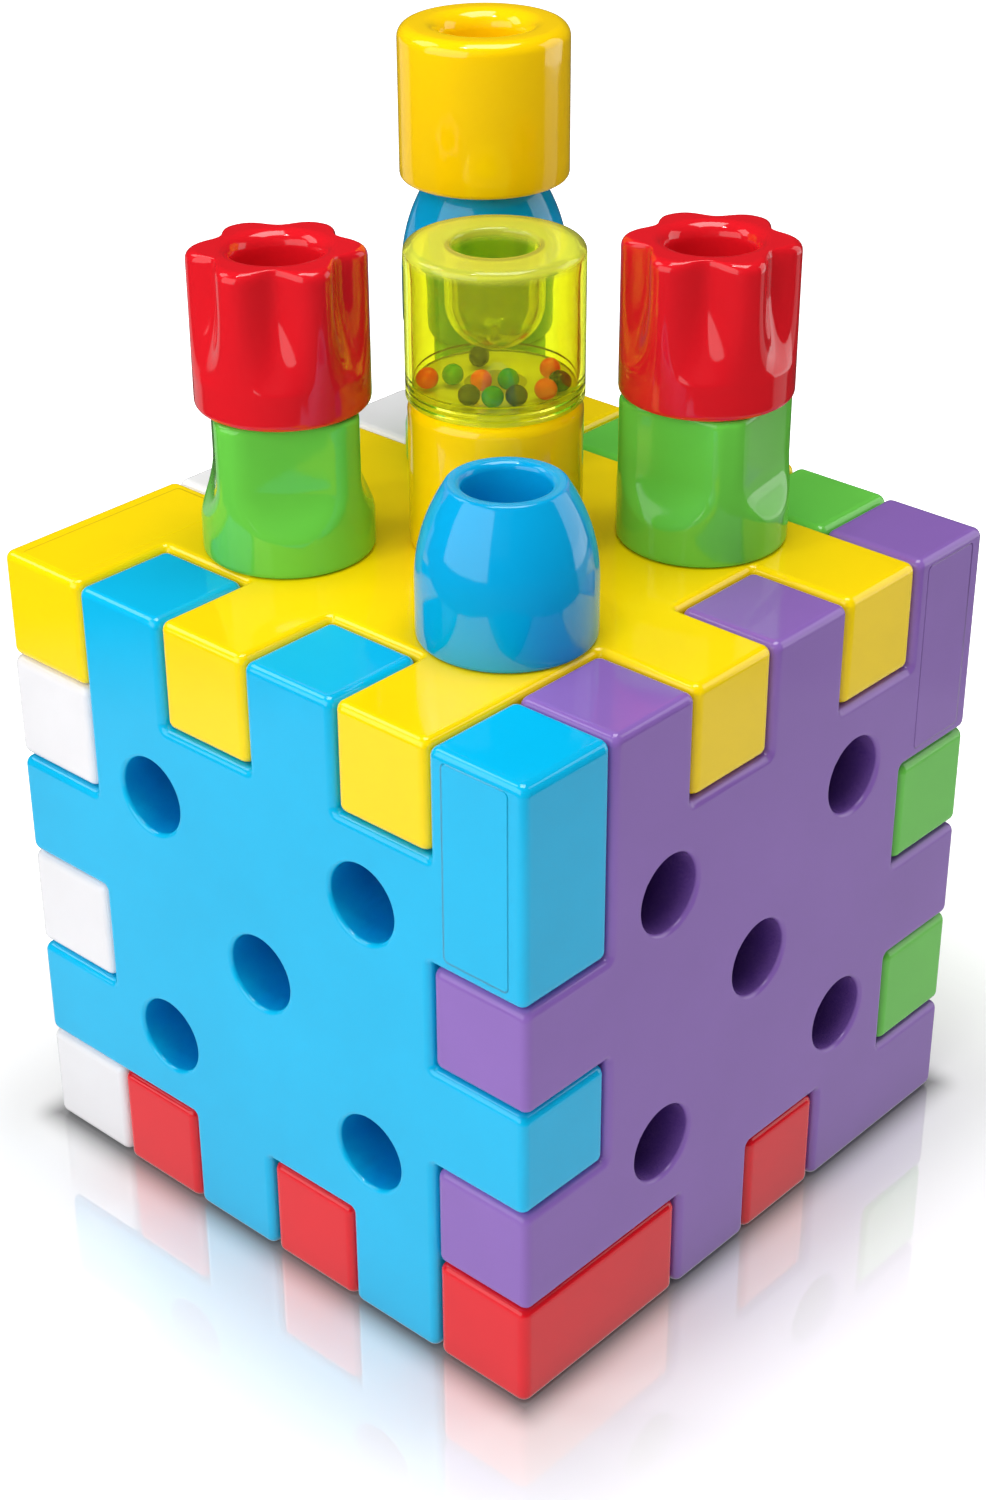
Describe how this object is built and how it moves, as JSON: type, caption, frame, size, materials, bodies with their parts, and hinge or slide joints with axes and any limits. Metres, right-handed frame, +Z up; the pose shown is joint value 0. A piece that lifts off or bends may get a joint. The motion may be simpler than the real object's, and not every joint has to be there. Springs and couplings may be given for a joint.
{
  "type": "baby activity cube",
  "caption": "Activity cube of six interlocking toothed panels with peg holes, and stackable plug-in pegs: drums, domes, scoops, flowers and a bead rattle.",
  "frame": {"origin": "centre of the base, on the surface the cube stands on", "axes": "+Z up, front panel towards -Y, right panel towards +X"},
  "size_m": [0.15, 0.15, 0.249],
  "materials": {
    "blue_plastic": "gloss",
    "yellow_plastic": "gloss",
    "purple_plastic": "gloss",
    "green_plastic": "gloss",
    "red_plastic": "gloss",
    "white_plastic": "gloss",
    "clear_lime_plastic": "clear gloss",
    "red_bead": "gloss",
    "blue_bead": "gloss",
    "green_bead": "gloss"
  },
  "bodies": {
    "bottom_panel": {"bottom_panel": "red_plastic"},
    "front_panel": {"front_panel": "blue_plastic"},
    "right_panel": {"right_panel": "purple_plastic"},
    "back_panel": {"back_panel": "green_plastic"},
    "left_panel": {"left_panel": "white_plastic"},
    "top_panel": {"top_panel": "yellow_plastic"},
    "front_dome_peg": {"front_dome_shell": "blue_plastic", "front_dome_base": "blue_plastic"},
    "left_scoop_peg": {"left_scoop_shell": "green_plastic", "left_scoop_base": "green_plastic"},
    "left_flower_peg": {"left_flower_shell": "red_plastic", "left_flower_base": "red_plastic"},
    "right_scoop_peg": {"right_scoop_shell": "green_plastic", "right_scoop_base": "green_plastic"},
    "right_flower_peg": {"right_flower_shell": "red_plastic", "right_flower_base": "red_plastic"},
    "centre_drum_peg": {"centre_drum_shell": "yellow_plastic", "centre_drum_base": "yellow_plastic"},
    "rattle_peg": {"rattle_shell": "clear_lime_plastic", "rattle_base": "clear_lime_plastic"},
    "back_scoop_peg": {"back_scoop_shell": "green_plastic", "back_scoop_base": "green_plastic"},
    "back_dome_peg": {"back_dome_shell": "blue_plastic", "back_dome_base": "blue_plastic"},
    "back_drum_peg": {"back_drum_shell": "yellow_plastic", "back_drum_base": "yellow_plastic"},
    "rattle_beads": {"rattle_beads_red": "red_bead", "rattle_beads_blue": "blue_bead", "rattle_beads_green": "green_bead"}
  },
  "joints": [
    {"name": "front_panel_pull", "type": "slide", "parent": "bottom_panel", "child": "front_panel", "axis": [0, -1, 0], "range_m": [0, 0.03]},
    {"name": "right_panel_pull", "type": "slide", "parent": "bottom_panel", "child": "right_panel", "axis": [1, 0, 0], "range_m": [0, 0.03]},
    {"name": "back_panel_pull", "type": "slide", "parent": "bottom_panel", "child": "back_panel", "axis": [0, 1, 0], "range_m": [0, 0.03]},
    {"name": "left_panel_pull", "type": "slide", "parent": "bottom_panel", "child": "left_panel", "axis": [-1, 0, 0], "range_m": [0, 0.03]},
    {"name": "top_panel_lift", "type": "slide", "parent": "bottom_panel", "child": "top_panel", "axis": [0, 0, 1], "range_m": [0, 0.03]},
    {"name": "front_dome_lift", "type": "slide", "parent": "top_panel", "child": "front_dome_peg", "axis": [0, 0, 1], "range_m": [0, 0.02]},
    {"name": "left_scoop_lift", "type": "slide", "parent": "top_panel", "child": "left_scoop_peg", "axis": [0, 0, 1], "range_m": [0, 0.02]},
    {"name": "left_flower_lift", "type": "slide", "parent": "left_scoop_peg", "child": "left_flower_peg", "axis": [0, 0, 1], "range_m": [0, 0.02]},
    {"name": "right_scoop_lift", "type": "slide", "parent": "top_panel", "child": "right_scoop_peg", "axis": [0, 0, 1], "range_m": [0, 0.02]},
    {"name": "right_flower_lift", "type": "slide", "parent": "right_scoop_peg", "child": "right_flower_peg", "axis": [0, 0, 1], "range_m": [0, 0.02]},
    {"name": "centre_drum_lift", "type": "slide", "parent": "top_panel", "child": "centre_drum_peg", "axis": [0, 0, 1], "range_m": [0, 0.02]},
    {"name": "rattle_lift", "type": "slide", "parent": "centre_drum_peg", "child": "rattle_peg", "axis": [0, 0, 1], "range_m": [0, 0.02]},
    {"name": "back_scoop_lift", "type": "slide", "parent": "top_panel", "child": "back_scoop_peg", "axis": [0, 0, 1], "range_m": [0, 0.02]},
    {"name": "back_dome_lift", "type": "slide", "parent": "back_scoop_peg", "child": "back_dome_peg", "axis": [0, 0, 1], "range_m": [0, 0.02]},
    {"name": "back_drum_lift", "type": "slide", "parent": "back_dome_peg", "child": "back_drum_peg", "axis": [0, 0, 1], "range_m": [0, 0.02]},
    {"name": "rattle_beads_roll", "type": "hinge", "parent": "rattle_peg", "child": "rattle_beads", "pos_m": [0, 0, 0.1885], "axis": [0, 0, 1], "continuous": true}
  ]
}
